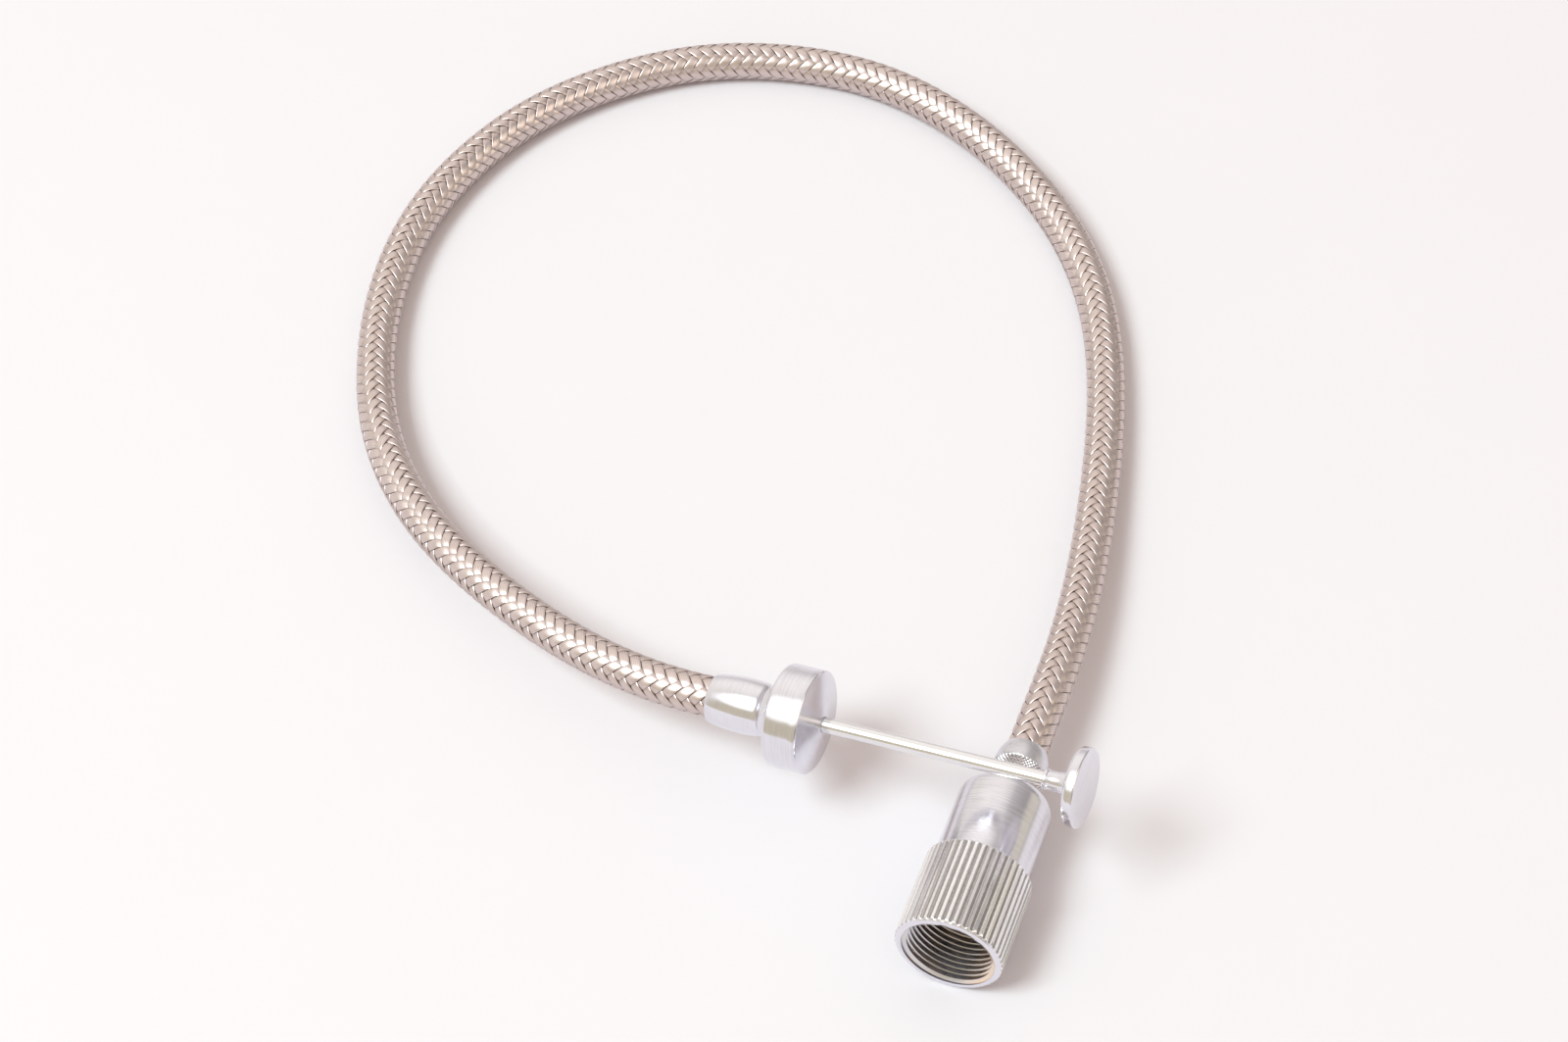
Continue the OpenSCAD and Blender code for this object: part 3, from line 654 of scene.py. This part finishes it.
def bell_thread():
    """A ridge wound inside the bore. The crests are rubbed bright, with a painted highlight, and the flanks carry
    painted shade.
    """
    seg = 144
    turns = int(THREAD_LEN / THREAD_PITCH) + 2
    # half of the ridge's section: radius, half-width in pitches, value for rubbing and painted shade
    half = [(THREAD_ROOT_R, 0.5, 0), (THREAD_ROOT_R, 0.36, 0), (THREAD_CREST_R + 0.05, 0.09, 0.2),
            (THREAD_CREST_R, 0.045, 1)]
    section = np.array([(r, -w, rub_and_shade) for r, w, rub_and_shade in half] + half[::-1])
    starts, ends = 0.05, THREAD_LEN + 0.05
    n = turns * seg
    step = np.arange(n + 1)[:, None]
    a = step * TURN / seg
    z = THREAD_PITCH * (step / seg - 0.6 + section[None, :, 1])
    chamfer = THREAD_ROOT_R - 4 * (z - starts)
    r = np.where((z < starts) | (z > ends), THREAD_ROOT_R, np.maximum(section[None, :, 0], chamfer))
    z = np.clip(z, 0.01, ends)
    v = np.stack([r * np.cos(a), r * np.sin(a), z], -1) * MM
    # Darker over the first 0.3 mm behind the mouth.
    rub_and_shade = np.minimum(section[:, 2], np.clip(z / 0.3, 0.2, 1))
    ob = add_mesh("bell_thread", v, [grid_faces(n + 1, len(section), closed=False)], [M_THREAD], rub_and_shade)
    bm = bmesh.new()
    bm.from_mesh(ob.data)
    bmesh.ops.remove_doubles(bm, verts=bm.verts, dist=WELD)
    bmesh.ops.dissolve_degenerate(bm, edges=bm.edges, dist=1e-7)
    bm.to_mesh(ob.data)
    bm.free()
    ob.data.set_sharp_from_angle(angle=math.radians(50))
    ob.data.transform(bell_frame())
    finish_piece(ob, "bell", "nickel_bell")


def bell():
    shell = lathe("bell_shell", bell_profile(), bell_frame(), [M_BAND, M_GRIP, M_SHADED_INSIDE, M_RIM],
                  seg=FLUTES * 16, sharp=38, shape=flute_shape, pick=bell_parts)
    finish_piece(shell, "bell", "nickel_bell", "screw_bell")
    bell_thread()


# ------------------------------------------------------------------ neck collar
def knurl_shape(th, r, z):
    """Diamonds from two crossed sets of grooves, which run out at both ends of the knurled band."""
    per_radian = KNURLS / TURN
    lean = per_radian / COLLAR_R * 0.95  # 1 would make the diamonds square
    groove = np.zeros_like(r)
    for hand in (1, -1):
        q = (th * per_radian + hand * z * lean) % 1.0
        groove = np.maximum(groove, np.clip(1 - np.abs(q - 0.5) * 2 * 1.35, 0, 1))
    run_out = 0.1
    from_front, to_rear = z - COLLAR_AT - 0.08, COLLAR_AT + KNURL_LEN + 0.1 - z
    end = np.clip(np.minimum(from_front / run_out, to_rear / run_out), 0, 1)
    cut = np.where(r > 3.0, KNURL_DEPTH * groove * end, 0)
    # The second value is low in the grooves, which darkens them.
    return r - cut, 1 - np.clip(cut / 0.1, 0, 1)


def neck_collar():
    bevel = 0.12
    groove_at = COLLAR_AT + KNURL_LEN + 0.25
    round_in = COLLAR_R - COLLAR_ROUND
    round_at = COLLAR_REAR - math.sqrt(COLLAR_ROUND ** 2 - (LIP_R - round_in) ** 2)
    round_end = math.degrees(math.atan2(COLLAR_REAR - round_at, LIP_R - round_in))
    band = [(COLLAR_R - 0.13, COLLAR_AT), (COLLAR_R, COLLAR_AT + bevel), (COLLAR_R, COLLAR_AT + KNURL_LEN + bevel)]
    profile = [(CONDUIT_HOLE_R, COLLAR_AT)] + dense(band, 0.055)
    profile += [(COLLAR_R - bevel, groove_at), (COLLAR_R, groove_at + bevel), (COLLAR_R, round_at)]
    profile += arc(round_in, round_at, COLLAR_ROUND, 0, round_end, 14)[1:]
    profile += [(SHEATH_HOLE_R, COLLAR_REAR), (SHEATH_HOLE_R, SHEATH_HOLE_END), (CONDUIT_HOLE_R, SHEATH_HOLE_END),
                (CONDUIT_HOLE_R, COLLAR_AT)]
    collar = lathe("neck_collar_turned", profile, bell_frame(), [M_COLLAR], seg=KNURLS * 14, sharp=35,
                   shape=knurl_shape)
    finish_piece(collar, "root", "nickel", "neck_collar")


# ------------------------------------------------------------------ handle
def finger_flange():
    """A shallow cone in front, a plain rim, and behind it a hub with a hollow curve."""
    tube_front, side_end = -0.5, FLANGE_ROUND - FLANGE_LEN
    lip_r, hub_root_r = 1.22, 3.15
    profile = [(ROD_HOLE_R, tube_front), (ROD_HOLE_R, FACE_RISE + 0.01), (lip_r, FACE_RISE + 0.02)]
    profile += [(lip_r + 0.1, FACE_RISE), (FLANGE_R - 0.18, 0.01), (FLANGE_R - 0.15, 0.0), (FLANGE_R - 0.01, -0.14)]
    profile += dense([(FLANGE_R, -0.16), (FLANGE_R, side_end)], 1.0)
    profile += arc(FLANGE_R - FLANGE_ROUND, side_end, FLANGE_ROUND, 0, -90, 8)[1:]
    profile += [(HUB_R, -FLANGE_LEN)] + arc(*HUB_CURVE, HUB_CURVE_R, 127.7, 167.2, 12)
    profile += [(hub_root_r, HUB_END + 0.18), (hub_root_r - 0.2, HUB_END), (SPRING_TUBE_R, HUB_END)]
    profile += [(SPRING_TUBE_R, tube_front), (ROD_HOLE_R, tube_front)]
    flange = lathe("flange_turned", profile, handle_frame(), [M_FLANGE, M_FACE], seg=240, sharp=28,
                   pick=lambda r, z: ((z > 0.0) & (r > 1.0)).astype(int))
    finish_piece(flange, "root", "nickel_flange", "finger_flange")


def handle_ferrule():
    """A rounded shoulder, a barrel that is widest at CROWN_AT, and a rounded rear edge at the cable."""
    front_r, rear_round = 2.9, 0.3
    shoulder = arc(2.04, -7.083, 1.2, 40.7, 6.2, 9)
    barrel = np.linspace(-7.0, FERRULE_REAR + rear_round, 20)
    profile = [(SPRING_TUBE_R, FERRULE_FRONT), (front_r, FERRULE_FRONT)] + shoulder
    profile += [(FERRULE_R - CROWN_R + math.sqrt(CROWN_R ** 2 - (z - CROWN_AT) ** 2), z) for z in barrel]
    profile += arc(2.66, barrel[-1], rear_round, -4, -90, 6)
    profile += [(SHEATH_HOLE_R, FERRULE_REAR), (SHEATH_HOLE_R, SHEATH_SEAT), (SPRING_TUBE_R, SHEATH_SEAT)]
    profile += [(SPRING_TUBE_R, FERRULE_FRONT)]
    ferrule = lathe("ferrule_turned", profile, handle_frame(), [M_PLATE], seg=180, sharp=35)
    finish_piece(ferrule, "root", "nickel", "handle_ferrule")


def plunger_rod():
    """Its rear is hollow, where it takes the core wire."""
    bevel = 0.05
    profile = [(0, WIRE_HOLE_END), (WIRE_HOLE_R, WIRE_HOLE_END), (WIRE_HOLE_R, ROD_REAR), (ROD_R - bevel, ROD_REAR)]
    profile += dense([(ROD_R, ROD_REAR + bevel), (ROD_R, ROD_FRONT)], 2.0) + [(0, ROD_FRONT)]
    rod = lathe("rod_turned", profile, handle_frame(), [M_ROD], seg=64, sharp=30)
    finish_piece(rod, "plunger", "steel_rod", "plunger_rod")


def thumb_button():
    """A flared sleeve that starts with a bead and opens into the button's back, and a bare face."""
    bead_r = 1.17
    flare = [(1.13, 29.12), (1.16, 29.2), (1.20, 29.9), (1.28, 30.6), (1.40, 31.2), (1.53, 31.62), (1.68, 31.94),
             (1.84, 32.13), (2.02, BUTTON_BACK)]
    profile = [(0, SOCKET_END), (SOCKET_R, SOCKET_END), (SOCKET_R, SLEEVE_AT), (bead_r, SLEEVE_AT)]
    profile += arc(bead_r, SLEEVE_AT + BEAD_R, BEAD_R, -90, 0, 4)
    profile += arc(bead_r, SLEEVE_AT + 4 * BEAD_R, BEAD_R, 0, 90, 4)
    profile += flare + [(BUTTON_R - BACK_ROUND, BUTTON_BACK)]
    profile += arc(BUTTON_R - BACK_ROUND, BUTTON_BACK + BACK_ROUND, BACK_ROUND, -90, 0, 14)[1:]
    profile += [(BUTTON_R, BUTTON_FACE - FACE_ROUND)]
    profile += arc(BUTTON_R - FACE_ROUND, BUTTON_FACE - FACE_ROUND, FACE_ROUND, 0, 90, 8)[1:]
    profile += [(0, BUTTON_FACE)]

    def faced(r, z):
        front = (z > BUTTON_FACE - 0.01) & (r < BUTTON_R - 0.15)
        back = (z > BUTTON_BACK - 0.01) & (z < BUTTON_BACK + 0.1)
        return (front | back).astype(int)

    button = lathe("button_turned", profile, handle_frame(), [M_PLATE, M_FACE], seg=200, sharp=32, pick=faced)
    finish_piece(button, "plunger", "nickel", "thumb_button")


def return_spring():
    """A coil of wire between its front and rear seats."""
    sides = 10
    n = SPRING_TURNS * 28 + 1
    a = np.linspace(0, TURN * SPRING_TURNS, n)[:, None]
    k = np.linspace(0, TURN, sides, endpoint=False)[None, :]
    long = SPRING_REAR - SPRING_FRONT
    z = SPRING_WIRE / 2 + (long - SPRING_WIRE) * a / a[-1] + SPRING_WIRE / 2 * np.sin(k) - SPRING_REAR
    r = SPRING_R + SPRING_WIRE / 2 * np.cos(k) + 0 * a
    v = np.stack([r * np.cos(a), r * np.sin(a), z], -1) * MM
    ob = add_mesh("return_spring_wound", v, [grid_faces(n, sides, flip=True)] + end_caps(n, sides), [M_STEEL])
    ob.data.transform(handle_frame())
    finish_piece(ob, "root", "dark_steel", "return_spring")
    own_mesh(ob)


# ------------------------------------------------------------------ the CAD's own pieces
def dress_cad_nodes():
    """The inner pieces keep their own solids. Those not named here are steel."""
    metals = {"bell_spindle": M_BRASS, "retaining_ring": M_BRASS, "neck_washer": M_DARK, "wire_conduit": M_CONDUIT,
              "spring_tube": M_BRASS, "spring_seat": M_BRASS, "stop_collar": M_BRASS, "braided_sheath": M_BRAID}
    for name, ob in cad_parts.items():
        ob.data.materials.clear()
        ob.data.materials.append(metals.get(name, M_STEEL))


# ------------------------------------------------------------------ floor and light
def paper_floor():
    """White paper, just under the bell and the cable."""
    corners = [(x, y, -BELL_R * MM - FLOOR_GAP) for x, y in ((-1, -1), (1, -1), (1, 1), (-1, 1))]
    me = bpy.data.meshes.new("floor")
    me.from_pydata(corners, [], [(0, 1, 2, 3)])
    me.transform(Matrix.Diagonal((FLOOR_HALF, FLOOR_HALF, 1, 1)))
    floor = bpy.data.objects.new("floor", me)
    scene.collection.objects.link(floor)
    mat, nt, bsdf = new_material("paper_white", 0.9, metallic=0.0)
    cloud = noise(nt, object_coordinates(nt), 45.0, 5.0)
    paper = ramp(nt, cloud, [(0.3, (0.934, 0.914, 0.953)), (0.7, (0.940, 0.920, 0.959))])
    nt.links.new(paper, bsdf.inputs["Base Color"])
    bsdf.inputs["Specular IOR Level"].default_value = 0.1
    me.materials.append(mat)


PAPER_SEEN, FILL = (0.955, 0.925, 0.935), (0.61, 0.53, 0.475)
ROOM_BRIGHT_SIDE = ((-0.84, 0.17, 0.51), 130, 10)
ROOM_SHADES = [(0.0, (0.32, 0.30, 0.285)), (0.25, (0.41, 0.385, 0.365)), (0.5, (0.60, 0.565, 0.54)),
               (0.8, (0.90, 0.865, 0.82)), (1.0, (1.0, 0.965, 0.87))]
# What the metal mirrors, each over those before it: direction, the angles in degrees from it where the lobe starts
# and is full, and its colour
ROOM_LOBES = [
    ((-0.34, 0.60, 0.72), 36, 10, (1.14, 1.09, 1.02)),  # ceiling over the cable
    ((-0.1, -0.97, 0.2), 54, 38, (0.68, 0.62, 0.48)),   # olive, low in front
    ((0.80, 0.56, 0.24), 17, 8, (0.78, 0.73, 0.61)),    # strip on the right
    ((0.80, -0.12, 0.58), 30, 12, (1.9, 1.75, 1.5)),    # warm light on the right
    ((-0.30, -0.40, 0.87), 32, 15, (2.1, 2.1, 2.05)),   # light overhead
]


def studio_world():
    """A room that is bright to the left, dim to the right, and olive low down, seen in the metal. The fill that
    falls on the paper is warm and even. The camera sees pale paper."""
    world = bpy.data.worlds.new("world")
    scene.world = world
    world.use_nodes = True
    nt = world.node_tree
    mirror = nt.nodes["Background"]
    where = node(nt, "ShaderNodeTexCoord").outputs["Generated"]

    def lobe(direction, start, full):
        """0 beyond the angle start, 1 within the angle full, both in degrees from a direction."""
        dot = node(nt, "ShaderNodeVectorMath", operation="DOT_PRODUCT")
        dot.inputs[1].default_value = Vector(direction).normalized()
        nt.links.new(where, dot.inputs[0])
        outer, inner = (math.cos(math.radians(angle)) for angle in (start, full))
        return spread(nt, dot.outputs["Value"], 0.0, 1.0, outer, inner)

    room = ramp(nt, lobe(*ROOM_BRIGHT_SIDE), ROOM_SHADES)
    for direction, start, full, colour in ROOM_LOBES:
        room = mix(nt, "MIX", lobe(direction, start, full), room, colour)
    nt.links.new(room, mirror.inputs["Color"])
    fill = node(nt, "ShaderNodeBackground", Color=(*FILL, 1), Strength=1.0)
    seen = node(nt, "ShaderNodeBackground", Color=(*PAPER_SEEN, 1), Strength=1.0)
    ray = node(nt, "ShaderNodeLightPath")
    last = fill.outputs[0]
    for kind, shader in (("Is Glossy Ray", mirror), ("Is Camera Ray", seen)):
        pick = nt.nodes.new("ShaderNodeMixShader")
        nt.links.new(ray.outputs[kind], pick.inputs[0])
        nt.links.new(last, pick.inputs[1])
        nt.links.new(shader.outputs[0], pick.inputs[2])
        last = pick.outputs[0]
    nt.links.new(last, nt.nodes["World Output"].inputs["Surface"])


def key_lamp():
    lamp = bpy.data.lights.new("key", "AREA")
    lamp.shape, lamp.size, lamp.energy, lamp.color = "SQUARE", KEY_SIZE, KEY_POWER, (0.84, 0.965, 0.985)
    ob = bpy.data.objects.new("key", lamp)
    v = Vector(KEY_DIRECTION).normalized()
    ob.location = Vector(KEY_AIM) + v * KEY_DISTANCE
    ob.rotation_mode = "QUATERNION"
    ob.rotation_quaternion = v.to_track_quat("Z", "Y")
    scene.collection.objects.link(ob)


# ------------------------------------------------------------------ the whole scene
photo_camera()
cable()
bell()
neck_collar()
finger_flange()
handle_ferrule()
plunger_rod()
thumb_button()
return_spring()
dress_cad_nodes()
paper_floor()
studio_world()
key_lamp()
scene.view_settings.view_transform = "Standard"
